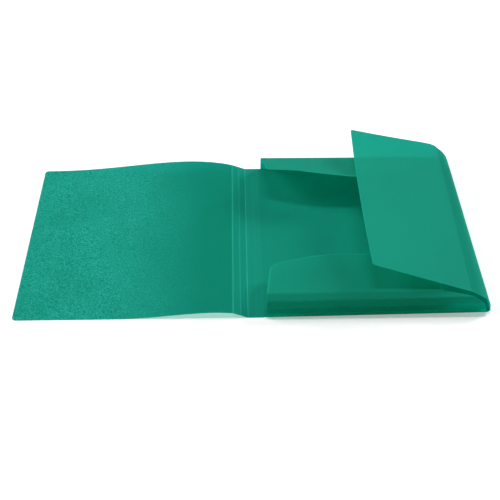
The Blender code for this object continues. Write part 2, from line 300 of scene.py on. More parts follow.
@dataclass
class SheetPanel:
    """One panel of sheet over a grid of middle-surface points, rows across it and columns along it.

    The solid is the middle surface moved out and in by its half thickness along the grid's normals,
    closed round the rim by a ring pushed out by the rim's rounding.
    """

    name: str
    middle: Array
    half_thickness: Array
    # Stress whitening with painted glow and painted highlights added, one value for each grid point.
    whitening: Array

    def normals(self) -> Array:
        """Unit normals: the cross product of the grid's steps across and along."""
        return unit(np.cross(np.gradient(self.middle, axis=0), np.gradient(self.middle, axis=1)))

    def rim(self) -> Array:
        """Vertex numbers round the grid's edge, in order."""
        numbers = np.arange(self.middle.shape[0] * self.middle.shape[1]).reshape(self.middle.shape[:2])
        return np.concatenate([numbers[0, :-1], numbers[:-1, -1], numbers[-1, :0:-1], numbers[:0:-1, 0]])

    def build(self, material: Material) -> bpy.types.Object:
        """Make the panel's closed solid, with its whitening and painted light as an attribute.

        Args:
            material: finish of the sheet.
        Returns:
            the panel's object.
        """
        normals = self.normals()
        rise = normals * self.half_thickness[..., None]
        upper = (self.middle + rise).reshape(-1, 3)
        lower = (self.middle - rise).reshape(-1, 3)
        rim = self.rim()
        edge = self.middle.reshape(-1, 3)[rim]
        along_rim = np.roll(edge, -1, axis=0) - np.roll(edge, 1, axis=0)
        outward = unit(np.cross(normals.reshape(-1, 3)[rim], along_rim))
        ring = edge + outward * STOCK.rim_round

        count = len(upper)
        quads = grid_quads(*self.middle.shape[:2])
        ring_numbers = 2 * count + np.arange(len(rim))
        next_rim, next_ring = np.roll(rim, -1), np.roll(ring_numbers, -1)
        upper_rim = np.stack([ring_numbers, next_ring, next_rim, rim], axis=-1)
        lower_rim = np.stack([rim + count, next_rim + count, next_ring, ring_numbers], axis=-1)
        faces = np.concatenate([quads, quads[:, ::-1] + count, upper_rim, lower_rim])
        obj = add_object(self.name, np.concatenate([upper, lower, ring]), faces.tolist(), material)

        flat = self.whitening.ravel()
        values = np.concatenate([flat, flat, flat[rim]]).astype(np.float32)
        attribute = obj.data.attributes.new(WHITENING_AND_PAINTED_LIGHT, "FLOAT", "POINT")
        attribute.data.foreach_set("value", values)
        return obj

    def dress(self, body: str, material: Material) -> None:
        """Build the panel, put it on a body and let it stand for the node of the same name.

        Args:
            body: name of the body and of its one node.
            material: finish of the sheet.
        """
        sheet = self.build(material)
        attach(sheet, body)
        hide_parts(body)

    def first_step(self) -> Array:
        """Unit steps from the first row to the second, one for each column."""
        return unit(self.middle[1] - self.middle[0])


@dataclass
class CreaseWeb:
    """The thin living hinge between two panels.

    Its middle surface is the quadratic curve from the parent's edge to the child's, with the crease
    line as its control: crease + reach * (t * t * out_of - (1 - t) * (1 - t) * into).
    """

    name: str
    parent: str
    child: str
    crease: Array
    into: Array
    out_of: Array
    whitening: float
    rows: int = 7

    def build(self, material: Material) -> None:
        """Make the web in its present shape, fixed in the folder's frame.

        Args:
            material: finish of the sheet.
        """
        share = np.linspace(0.0, 1.0, self.rows)[:, None, None]
        bend = share**2 * self.out_of - (1.0 - share) ** 2 * self.into
        middle = self.crease + STOCK.web_reach * bend
        half = np.full(middle.shape[:2], STOCK.crease_thickness / 2.0)
        whitening = np.full(middle.shape[:2], self.whitening)
        web = SheetPanel(self.name, middle, half, whitening).build(material)
        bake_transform(web)


@dataclass
class BackCover:
    """The back cover, tilted where the elastics under it lift its fore edge off the table."""

    crease: Array
    height: float = 0.315
    width: float = 0.2402
    elastic_diameter: float = 0.0022
    elastic_reach: float = 0.06
    clearance: float = 0.0003

    def axes(self) -> Array:
        """Axes of the cover as columns, turned up by the lift over the part that it acts on."""
        lift = self.elastic_diameter + self.clearance
        return turned(Heading.FORE_EDGE, math.asin(lift / (self.width - self.elastic_reach)))

    def place(self, points: Array) -> Array:
        """Points given from the spine crease in the cover's own axes, in the folder's frame."""
        return self.crease + points @ self.axes().T


@dataclass(frozen=True)
class EndCut:
    """How far one end of a chain of strips is cut back, at places counted in strips across it."""

    places: tuple[float, ...] = (0.0, 4.0)
    cuts: tuple[float, ...] = (0.0, 0.0)

    def at(self, place: float) -> float:
        """Cut at a place, linear between the given ones."""
        return float(np.interp(place, self.places, self.cuts))


@dataclass
class FoldedStrips:
    """A chain of creased strips, such as a gusset or the spine, as one folded sheet.

    Each crease line runs between its near and far ends. The sheet follows the strips and turns at each
    inner crease along a quadratic curve with the crease line as its control. Fine pressed score lines
    lie at places counted in strips. A painted highlight, set at each crease, runs evenly from crease to
    crease.
    """

    name: str
    width: float
    length: float
    near_angles: tuple[float, ...]
    far_angles: tuple[float, ...]
    near_cut: EndCut = EndCut()
    far_cut: EndCut = EndCut()
    crease_whitening: tuple[float, ...] = (0.1, 0.1, 0.3, 0.15, 0.1)
    # Painted highlight at each crease, even between creases.
    hazes: tuple[float, ...] = (0.0, 0.0, 0.0, 0.0, 0.0)
    scores: tuple[tuple[float, float], ...] = ()
    row_spacing: float = 0.0015
    column_spacing: float = 0.004
    end_columns: int = 14
    end_margin: float = 0.0015
    turn_rows: int = 9

    def creases(self) -> Array:
        """Crease lines in the chain's own axes, each a step of one width up from the one before.

        Returns:
            ends of the lines as [crease, end, xyz].
        """
        half = self.length / 2.0
        ends = []
        for along, angles in ((-half, self.near_angles), (half, self.far_angles)):
            steps = self.width * step_up(np.array(angles))
            points = np.concatenate([np.zeros((1, 3)), np.cumsum(steps, axis=0)])
            ends.append(points + np.array([0.0, along, 0.0]))
        return np.stack(ends, axis=1)

    def columns(self, place: float) -> Array:
        """Distances along a row: even between the ends' deepest cuts, and closing up to each end.

        Args:
            place: the row's place, in strips across the chain.
        Returns:
            rising distances from the near end.
        """
        low, high = self.near_cut.at(place), self.length - self.far_cut.at(place)
        inner_low = max(self.near_cut.cuts) + self.end_margin
        inner_high = self.length - max(self.far_cut.cuts) - self.end_margin
        closing = np.linspace(0.0, 1.0, self.end_columns) ** 2
        first = low + (inner_low - low) * closing
        last = high - (high - inner_high) * closing[::-1]
        return np.concatenate([first[:-1], spread(inner_low, inner_high, self.column_spacing), last[1:]])

    def lines(self, place: float) -> Array:
        """Points of every crease at a row's columns.

        Args:
            place: the row's place, in strips across the chain.
        Returns:
            points as [crease, column, xyz].
        """
        shares = (self.columns(place) / self.length)[:, None]
        creases = self.creases()
        return creases[:, :1] * (1.0 - shares) + creases[:, 1:] * shares

    def strip_step(self, strip: int, place: float) -> Array:
        """Unit steps across a strip, one for each column of a row."""
        lines = self.lines(place)
        return unit(lines[strip + 1] - lines[strip])

    def last_step(self) -> Array:
        """Unit steps across the last strip, one for each column of its last row."""
        count = len(self.near_angles)
        return self.strip_step(count - 1, float(count))

    def row_places(self) -> Array:
        """Places of the straight rows and the turning rows.

        Returns:
            rising places, in strips across the chain.
        """
        strips = len(self.near_angles)
        gap = STOCK.crease_gap / 2.0
        places = []
        for strip in range(strips):
            start = gap if strip == 0 else STOCK.bend_reach
            stop = self.width - (gap if strip == strips - 1 else STOCK.bend_reach)
            places.append(strip + crease_spread(start, stop, self.row_spacing, True) / self.width)
        turns = STOCK.bend_reach / self.width * np.linspace(-1.0, 1.0, self.turn_rows)[1:-1]
        places += [crease + turns for crease in range(1, strips)]
        return np.sort(np.concatenate(places))

    def row(self, place: float) -> Array:
        """Points of one row in the chain's own axes.

        Args:
            place: the row's place, in strips across the chain.
        Returns:
            points, one for each column.
        """
        lines = self.lines(place)
        crease = min(max(round(place), 0), len(self.near_angles))
        offset = (place - crease) * self.width
        reach = STOCK.bend_reach
        if 0 < crease < len(self.near_angles) and abs(offset) < reach:
            turn = 0.5 + 0.5 * offset / reach
            into = unit(lines[crease] - lines[crease - 1])
            out_of = unit(lines[crease + 1] - lines[crease])
            return lines[crease] + reach * (turn**2 * out_of - (1.0 - turn) ** 2 * into)
        strip = min(int(place), len(self.near_angles) - 1)
        return lines[strip] + unit(lines[strip + 1] - lines[strip]) * (place - strip) * self.width

    def panel(self, axes: Array, origin: Array) -> SheetPanel:
        """The folded sheet in the folder's frame.

        Args:
            axes: the chain's axes as columns.
            origin: middle of the chain's first crease.
        Returns:
            the panel, ready to build.
        """
        places = self.row_places()
        middle = np.stack([self.row(place) for place in places]) @ axes.T + origin
        creases = np.arange(len(self.near_angles) + 1)
        crease_distance = np.abs(places[:, None] - creases) * self.width
        whitening = STOCK.whitening(crease_distance, np.array(self.crease_whitening)).max(axis=1)
        # Painted highlight, set at each crease and even between them.
        whitening = whitening + np.interp(places, creases, self.hazes)
        for place, strength in self.scores:
            whitening = whitening + STOCK.whitening((places - place) * self.width, strength)
        along = np.stack([self.columns(place) for place in places])
        end_distance = np.minimum(along - along[:, :1], along[:, -1:] - along)
        # Painted glow at the cut ends.
        whitening = np.maximum(whitening[:, None], STOCK.glow(end_distance, STOCK.edge_glow_reach))
        half = np.broadcast_to(STOCK.profile(crease_distance.min(axis=1))[:, None], along.shape)
        return SheetPanel(self.name, middle, half, whitening)

    def dress(self, body: str, axes: Array, origin: Array, material: Material) -> None:
        """Build the folded sheet, put it on its body and let it stand for the body's strips.

        Args:
            body: name of the body, which begins its strips' names too.
            axes: the chain's axes as columns.
            origin: middle of the chain's first crease.
            material: finish of the sheet.
        """
        sheet = self.panel(axes, origin).build(material)
        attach(sheet, body)
        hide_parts(*[f"{body}_strip_{number + 1}" for number in range(len(self.near_angles))])

    def dress_base(self, body: str, axes: Array, origin: Array, into: Array, material: Material) -> None:
        """Build the web from the back cover to the first strip.

        Args:
            body: name of the strips' body.
            axes: the chain's axes as columns.
            origin: middle of the chain's first crease.
            into: unit step across the back cover towards the crease.
            material: finish of the sheet.
        """
        line = self.lines(0.0)[0] @ axes.T + origin
        out_of = self.strip_step(0, 0.0) @ axes.T
        into = np.broadcast_to(into, out_of.shape)
        whitening = self.crease_whitening[0]
        CreaseWeb(f"{body}_web", "back_cover", body, line, into, out_of, whitening).build(material)


@dataclass
class FlapShape:
    """Outline and set of a flap, given from the middle of its crease.

    A point a distance out and a distance along sits at (across * cos turn, along, across * sin turn -
    swell + sag). Across falls behind the distance out where the free edge bows back towards both ends,
    and runs ahead of it by the belly in between. Turn runs from minus to plus half the twist. Swell
    rises over a short way beyond the crease and fades to the free edge; it grows from swell_near to
    swell_far along the crease. Sag lets the free corner at the far end droop.
    """

    start: float
    end: float
    depth: float
    slant: float
    corner_radius: float
    twist: float = 0.0
    bow: float = 0.0
    bow_length: float = 1.0
    belly: float = 0.0
    swell_near: float = 0.0
    swell_far: float = 0.0
    swell_rise: float = 0.05
    swell_fade: float = 1.5
    droop: float = 0.0
    droop_length: float = 0.045
    droop_fade: float = 1.2
    # Painted highlight over the whole flap, added to its whitening.
    haze: float = 0.0
    crease_whitening: float = 0.1
    edge_glow_reach: float = STOCK.edge_glow_reach
    scores: tuple[tuple[float, float], ...] = ()
    spacing: float = 0.0025
    edge_step: float = 0.0004
    corner_rows: int = 15

    def rows(self) -> tuple[Array, Array]:
        """Rows of the flap, straight and then round a quarter circle at its corners.

        Returns:
            each row's distance out from the crease, and how far the corners draw its ends in.
        """
        straight_end = self.depth - self.corner_radius
        straight = crease_spread(STOCK.crease_gap / 2.0, straight_end, self.spacing, False)
        angle = np.linspace(0.0, math.pi / 2.0, self.corner_rows)[1:]
        reach = np.concatenate([straight, self.depth - self.corner_radius * (1.0 - np.sin(angle))])
        inset = np.concatenate([np.zeros_like(straight), self.corner_radius * (1.0 - np.cos(angle))])
        return reach, inset

    def along(self, reach: Array, inset: Array) -> Array:
        """Distances along the crease of every point, as [row, column].

        Args:
            reach: distance of each row from the crease.
            inset: how far each row's ends are drawn in by the rounded corners.
        Returns:
            rising distances in each row.
        """
        length = self.end - self.start
        columns = edge_spread(math.ceil(length / self.spacing), self.edge_step / length)
        pull = (self.slant * reach / self.depth + inset)[:, None]
        return self.start + pull + (length - 2.0 * pull) * columns

    def points(self, reach: Array, along: Array) -> Array:
        """Middle surface in the crease's axes, as [row, column, xyz].

        Args:
            reach: distance of each row from the crease.
            along: distances along the crease.
        Returns:
            points of the grid.
        """
        share = (reach / self.depth)[:, None]
        far_share = (along - self.start) / (self.end - self.start)
        end_distance = np.minimum(along - self.start, self.end - along)
        drop = self.bow * np.clip(1.0 - end_distance / self.bow_length, 0.0, None) ** 2
        bulge = 4.0 * self.belly * far_share * (1.0 - far_share)
        across = reach[:, None] - (drop - bulge) * share
        turn = np.radians(self.twist) * (far_share - 0.5)
        size = self.swell_near + (self.swell_far - self.swell_near) * far_share
        swell = size * (1.0 - np.exp(-share / self.swell_rise)) * (1.0 - share) ** self.swell_fade
        corner = np.clip(1.0 - (self.end - along) / self.droop_length, 0.0, None) ** self.droop_fade
        sag = self.droop * corner * share**2
        return np.stack([across * np.cos(turn), along, across * np.sin(turn) - swell + sag], axis=-1)

    def whitening(self, reach: Array, along: Array) -> Array:
        """Whitening of the crease and the score lines, a painted highlight over the flap and a painted
        glow at the cut edges.

        Args:
            reach: distance of each row from the crease.
            along: distances along the crease.
        Returns:
            whitening as [row, column].
        """
        lines = self.haze + STOCK.whitening(reach, self.crease_whitening)
        for place, strength in self.scores:
            lines = lines + STOCK.whitening(reach - place, strength)
        end_distance = np.minimum(along - along[:, :1], along[:, -1:] - along)
        edge = np.minimum(end_distance, (self.depth - reach)[:, None])
        return np.maximum(lines[:, None], STOCK.glow(edge, self.edge_glow_reach))

    def panel(self, name: str, axes: Array, origin: Array) -> SheetPanel:
        """The flap in the folder's frame.

        Args:
            name: name of the piece.
            axes: the crease's axes as columns.
            origin: middle of the crease.
        Returns:
            the panel, ready to build.
        """
        reach, inset = self.rows()
        along = self.along(reach, inset)
        middle = self.points(reach, along) @ axes.T + origin
        half = np.broadcast_to(STOCK.profile(reach)[:, None], along.shape)
        return SheetPanel(name, middle, half, self.whitening(reach, along))


@dataclass
class GussetAndFlap:
    """A folded gusset on one edge of the back cover and the flap beyond it."""

    word: str
    cover: BackCover
    heading: Heading
    base: Array
    strips: FoldedStrips
    shape: FlapShape
    flap_angle: float

    def dress(self, material: Material) -> None:
        """Build the gusset, the flap and the two webs, and put the gusset and the flap on their bodies.

        Args:
            material: finish of the sheet.
        """
        axes = self.cover.axes() @ turned(self.heading)
        origin = self.cover.place(self.base)
        gusset_body, flap_body = f"{self.word}_gusset", f"{self.word}_flap"
        self.strips.dress(gusset_body, axes, origin, material)

        near, far = self.strips.creases()[-1]
        flap_axes = axes @ crease_axes(near, far, step_up(np.array(self.flap_angle)))
        flap_origin = origin + axes @ (near + far) / 2.0
        panel = self.shape.panel(f"{flap_body}_sheet", flap_axes, flap_origin)
        panel.dress(flap_body, material)
        LOG.info("gusset and flap %s", self.word)

        self.strips.dress_base(gusset_body, axes, origin, axes[:, 0], material)
        out_of = panel.first_step()
        line = panel.middle[0] - out_of * STOCK.crease_gap / 2.0
        into = respread(self.strips.last_step() @ axes.T, len(line))
        whitening = self.strips.crease_whitening[-1]
        web = CreaseWeb(f"{flap_body}_web", gusset_body, flap_body, line, into, out_of, whitening)
        web.build(material)


@dataclass
class EndFlap:
    """Sizes of the gussets and flaps on the bottom and top edges of the back cover.

    At the fore edge the first two strips run almost to the corner and the other two are cut on a slant.
    """

    cover: BackCover
    side: Side
    spine_angles: tuple[float, ...]
    fore_angles: tuple[float, ...]
    spine_flap_angle: float
    fore_flap_angle: float
    flap_corner_radius: float
    flap_droop: float = 0.0
    flap_swell: float = 0.0
    flap_swell_rise: float = 0.12
    flap_edge_glow_reach: float = STOCK.edge_glow_reach
    strip_width: float = 0.008
    spine_setback: float = 0.003
    fore_edge_setback: float = 0.005
    flap_depth: float = 0.0895
    flap_slant: float = 0.006
    flap_bow: float = 0.03
    flap_bow_length: float = 0.084
    spine_cut: EndCut = EndCut((0.0, 4.0), (0.0, 0.0005))
    fore_cut: EndCut = EndCut((0.0, 1.0, 2.0, 3.0, 4.0), (0.0, 0.001, 0.003, 0.014, 0.045))
    flap_scores: tuple[tuple[float, float], ...] = ((0.004, 0.14), (0.0085, 0.1), (0.014, 0.08))

    def assembly(self) -> GussetAndFlap:
        """Set the gusset and the flap on their edge of the back cover.

        Returns:
            the gusset and flap, ready to dress.
        """
        start = self.spine_setback
        end = self.cover.width - self.fore_edge_setback
        length = end - start
        base = np.array([(start + end) / 2.0, self.side.value * self.cover.height / 2.0, 0.0])
        ends = [(self.spine_angles, self.spine_flap_angle, self.spine_cut),
                (self.fore_angles, self.fore_flap_angle, self.fore_cut)]
        near, far = ends if self.side is Side.BOTTOM else ends[::-1]
        near_angles, near_flap_angle, near_cut = near
        far_angles, far_flap_angle, far_cut = far
        strips = FoldedStrips(f"{self.side.word}_gusset_sheet", self.strip_width, length,
                              near_angles, far_angles, near_cut, far_cut)
        shape = FlapShape(start=near_cut.cuts[-1] - length / 2.0,
                          end=length / 2.0 - far_cut.cuts[-1],
                          depth=self.flap_depth,
                          slant=self.flap_slant,
                          corner_radius=self.flap_corner_radius,
                          twist=far_flap_angle - near_flap_angle,
                          bow=self.flap_bow,
                          bow_length=self.flap_bow_length,
                          swell_near=self.flap_swell,
                          swell_far=self.flap_swell,
                          swell_rise=self.flap_swell_rise,
                          droop=self.flap_droop,
                          edge_glow_reach=self.flap_edge_glow_reach,
                          scores=self.flap_scores)
        heading = Heading.BOTTOM if self.side is Side.BOTTOM else Heading.TOP
        mean_angle = (near_flap_angle + far_flap_angle) / 2.0
        return GussetAndFlap(self.side.word, self.cover, heading, base, strips, shape, mean_angle)


def end_flaps(cover: BackCover) -> list[EndFlap]:
    """The bottom flap, which lies almost flat, and the top flap, which has sprung up and droops.

    Args:
        cover: the back cover that carries them.
    Returns:
        the two end flaps.
    """
    bottom = EndFlap(cover, Side.BOTTOM,
                     spine_angles=(60.0, 85.0, 110.0, 140.0),
                     fore_angles=(60.0, 86.0, 112.0, 163.0),
                     spine_flap_angle=187.0,
                     fore_flap_angle=187.0,
                     flap_corner_radius=0.008,
                     flap_swell=0.0022,
                     flap_edge_glow_reach=0.0012)
    top = EndFlap(cover, Side.TOP,
                  spine_angles=(100.0, 115.0, 132.0, 150.0),
                  fore_angles=(104.0, 126.0, 146.0, 165.0),
                  spine_flap_angle=158.0,
                  fore_flap_angle=169.0,
                  flap_corner_radius=0.005,
                  flap_droop=0.0056)
    return [bottom, top]


@dataclass
class SideFlap:
    """Sizes of the gusset and flap on the fore edge of the back cover."""

    cover: BackCover
    strip_width: float = 0.0085
    setback: float = 0.006
    flap_width: float = 0.1115
    flap_slant: float = 0.0015
    flap_corner_radius: float = 0.003
    flap_belly: float = 0.0022
    flap_swell: float = 0.004
    # Painted highlight that brightens the whole side flap.
    flap_haze: float = 0.22
    angles_at_bottom: tuple[float, ...] = (92.0, 122.0, 151.0, 160.0)
    angles_at_top: tuple[float, ...] = (107.0, 112.0, 128.0, 140.0)
    flap_angle_at_bottom: float = 161.0
    flap_angle_at_top: float = 165.2
    crease_whitening: tuple[float, ...] = (0.1, 0.1, 0.1, 0.05, 0.05)
    # Painted highlight along the gusset's outer rim, strongest at its first inner crease.
    strip_hazes: tuple[float, ...] = (0.0, 1.0, 0.5, 0.0, 0.0)
    near_cut: EndCut = EndCut((0.0, 2.0, 4.0), (-0.004, -0.004, 0.0))

    def assembly(self) -> GussetAndFlap:
        """Set the gusset and the flap on the back cover's fore edge.

        Returns:
            the gusset and flap, ready to dress.
        """
        length = self.cover.height - 2.0 * self.setback
        base = np.array([self.cover.width, 0.0, 0.0])
        strips = FoldedStrips("side_gusset_sheet", self.strip_width, length,
                              self.angles_at_bottom, self.angles_at_top, self.near_cut,
                              crease_whitening=self.crease_whitening, hazes=self.strip_hazes)
        shape = FlapShape(start=-length / 2.0,
                          end=length / 2.0,
                          depth=self.flap_width,
                          slant=self.flap_slant,
                          corner_radius=self.flap_corner_radius,
                          twist=self.flap_angle_at_top - self.flap_angle_at_bottom,
                          belly=self.flap_belly,
                          swell_far=self.flap_swell,
                          haze=self.flap_haze,
                          crease_whitening=self.crease_whitening[-1])
        mean_angle = (self.flap_angle_at_top + self.flap_angle_at_bottom) / 2.0
        return GussetAndFlap("side", self.cover, Heading.FORE_EDGE, base, strips, shape, mean_angle)


@dataclass
class SpineAndFrontCover:
    """The four spine strips and the front cover, which leaves them bowed and comes down to the table.

    The cover's height at a distance out is (1 - reach / run) ** fade * (rise + slope * reach), where run
    and slope grow from the bottom edge to the top edge.
    """

    cover: BackCover
    front_crease: Array
    strip_width: float = 0.0084
    strip_angles: tuple[float, ...] = (0.0, 0.0, 21.0, 20.0)
    reach: float = 0.2346
    corner_radius: float = 0.005
    run_bottom: float = 0.135
    run_top: float = 0.234
    slope_bottom: float = 0.22
    slope_top: float = 0.315
    fade: float = 2.5
    crease_whitening: tuple[float, ...] = (0.2, 0.2, 1.0, 0.6, 0.7)
    scores: tuple[tuple[float, float], ...] = (
        (0.18, 0.08), (0.35, 0.14), (0.68, 0.18), (0.84, 0.08),
        (1.3, 0.14), (1.62, 0.18), (1.8, 0.08), (2.45, 0.1))
    spine_row_spacing: float = 0.0003

    def rise(self) -> float:
        """Height of the front cover's crease over the first spine crease."""
        return float(self.strip_width * step_up(np.array(self.strip_angles))[:, 2].sum())

    def front_cover_panel(self) -> SheetPanel:
        """The front cover in the folder's frame, its columns running from the top edge to the bottom.

        Returns:
            the panel, ready to build.
        """
        half = self.cover.height / 2.0
        shape = FlapShape(-half, half, self.reach, slant=0.0, corner_radius=self.corner_radius,
                          crease_whitening=self.crease_whitening[-1])
        out, inset = shape.rows()
        along = shape.along(out, inset)
        top_share = 0.5 - along / self.cover.height
        run = self.run_bottom + (self.run_top - self.run_bottom) * top_share
        slope = self.slope_bottom + (self.slope_top - self.slope_bottom) * top_share
        reach = np.broadcast_to(out[:, None], along.shape)
        height = np.clip(1.0 - reach / run, 0.0, None) ** self.fade * (self.rise() + slope * reach)
        middle = self.front_crease + np.stack([-reach, -along, height - self.rise()], axis=-1)
        half_thickness = np.broadcast_to(STOCK.profile(out)[:, None], along.shape)
        return SheetPanel("front_cover_sheet", middle, half_thickness, shape.whitening(out, along))

    def dress(self, material: Material) -> None:
        """Build the spine, the front cover and their webs, and put the spine and the cover on their
        bodies.

        Args:
            material: finish of the sheet.
        """
        axes = turned(Heading.SPINE)
        origin = self.cover.crease
        strips = FoldedStrips("spine_sheet", self.strip_width, self.cover.height,
                              self.strip_angles, self.strip_angles,
                              crease_whitening=self.crease_whitening, scores=self.scores,
                              row_spacing=self.spine_row_spacing)
        strips.dress("spine", axes, origin, material)
        panel = self.front_cover_panel()
        panel.dress("front_cover", material)
        LOG.info("spine and front cover")

        strips.dress_base("spine", axes, origin, -self.cover.axes()[:, 0], material)
        line = strips.lines(float(len(self.strip_angles)))[-1] @ axes.T + origin
        into = strips.last_step() @ axes.T
        out_of = respread(panel.first_step(), len(line))
        whitening = self.crease_whitening[-1]
        web = CreaseWeb("front_cover_web", "spine", "front_cover", line, into, out_of, whitening)
        web.build(material)


@dataclass
class CornerElastic:
    """A braided elastic across one fore-edge corner, outside the back cover.

    The cord goes down through one hole, along the cover and up the other hole. Its radius is the cord's
    own times 1 - relief + relief * (the higher of two opposed helices), which gives the braid.
    """

    side: Side
    cover: BackCover
    hole_margin: float = 0.011
    inner_bend: float = 0.0004
    relief: float = 0.05
    strands: int = 6
    braid_pitch: float = 0.009
    spacing: float = 0.00035
    sides: int = 36
    bend_rows: int = 12

    def route(self) -> Array:
        """Middle line of the cord in the back cover's axes, with a quarter circle at each hole.

        Returns:
            points from the edge hole to the fore hole.
        """
        cover = self.cover
        far, near = cover.width - cover.elastic_reach, cover.width - self.hole_margin
        half = cover.height / 2.0
        edge_hole = np.array([far, self.side.value * (half - self.hole_margin), 0.0])
        fore_hole = np.array([near, self.side.value * (half - cover.elastic_reach), 0.0])
        radius = cover.elastic_diameter / 2.0
        bend = radius + self.inner_bend
        run_height = -(STOCK.thickness / 2.0 + cover.clearance + radius)
        span = float(np.linalg.norm(fore_hole - edge_hole))
        drop = spread(run_height + bend, STOCK.thickness / 2.0, self.spacing)[::-1]
        angle = np.linspace(0.0, math.pi / 2.0, self.bend_rows)[1:]
        down = np.stack([np.zeros_like(drop), drop], axis=-1)
        aside = bend * (1.0 - np.cos(angle))
        height = run_height + bend * (1.0 - np.sin(angle))
        first = np.concatenate([down, np.stack([aside, height], axis=-1)])
        straight = spread(bend, span - bend, self.spacing)[1:-1]
        middle = np.stack([straight, np.full_like(straight, run_height)], axis=-1)
        last = np.stack([span - first[::-1, 0], first[::-1, 1]], axis=-1)
        flat = np.concatenate([first, middle, last])
        pull = (fore_hole - edge_hole) / span
        return edge_hole + flat[:, :1] * pull + flat[:, 1:] * np.array([0.0, 0.0, 1.0])

    def dress(self, material: Material) -> None:
        """Build the cord and put it on the back cover.

        Args:
            material: finish of the braid.
        """
        route = self.cover.place(self.route())
        tangent = unit(np.gradient(route, axis=0))
        level = unit(np.cross(route[-1] - route[0], self.cover.axes()[:, 2]))
        sideways = np.broadcast_to(level, tangent.shape)
        upward = unit(np.cross(tangent, sideways))
        travelled = np.concatenate([[0.0], np.cumsum(np.linalg.norm(np.diff(route, axis=0), axis=-1))])
        angle = np.linspace(0.0, 2.0 * math.pi, self.sides, endpoint=False)
        phase = 2.0 * math.pi * travelled[:, None] / self.braid_pitch
        waves = self.strands / 2.0
        braid = np.maximum(np.sin(waves * (angle + phase)), np.sin(waves * (angle - phase)))
        radius = self.cover.elastic_diameter / 2.0 * (1.0 - self.relief + self.relief * braid)
        across = np.cos(angle)[:, None] * sideways[:, None, :]
        ring = across + np.sin(angle)[:, None] * upward[:, None, :]
        points = route[:, None, :] + radius[..., None] * ring
        rows = len(route)
        faces = grid_quads(rows, self.sides, wrap=True).tolist()
        faces.append(list(range(self.sides)))
        faces.append(list(range(rows * self.sides - 1, (rows - 1) * self.sides - 1, -1)))
        name = f"{self.side.word}_elastic_braid"
        cord = add_object(name, points.reshape(-1, 3), faces, material)
        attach(cord, "back_cover")
        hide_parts(f"{self.side.word}_elastic")
        LOG.info("elastic %s", name)


def opaque(colour: Colour) -> Opaque:
    """A colour with full alpha, as Blender's sockets take it."""
    return (*colour, 1.0)


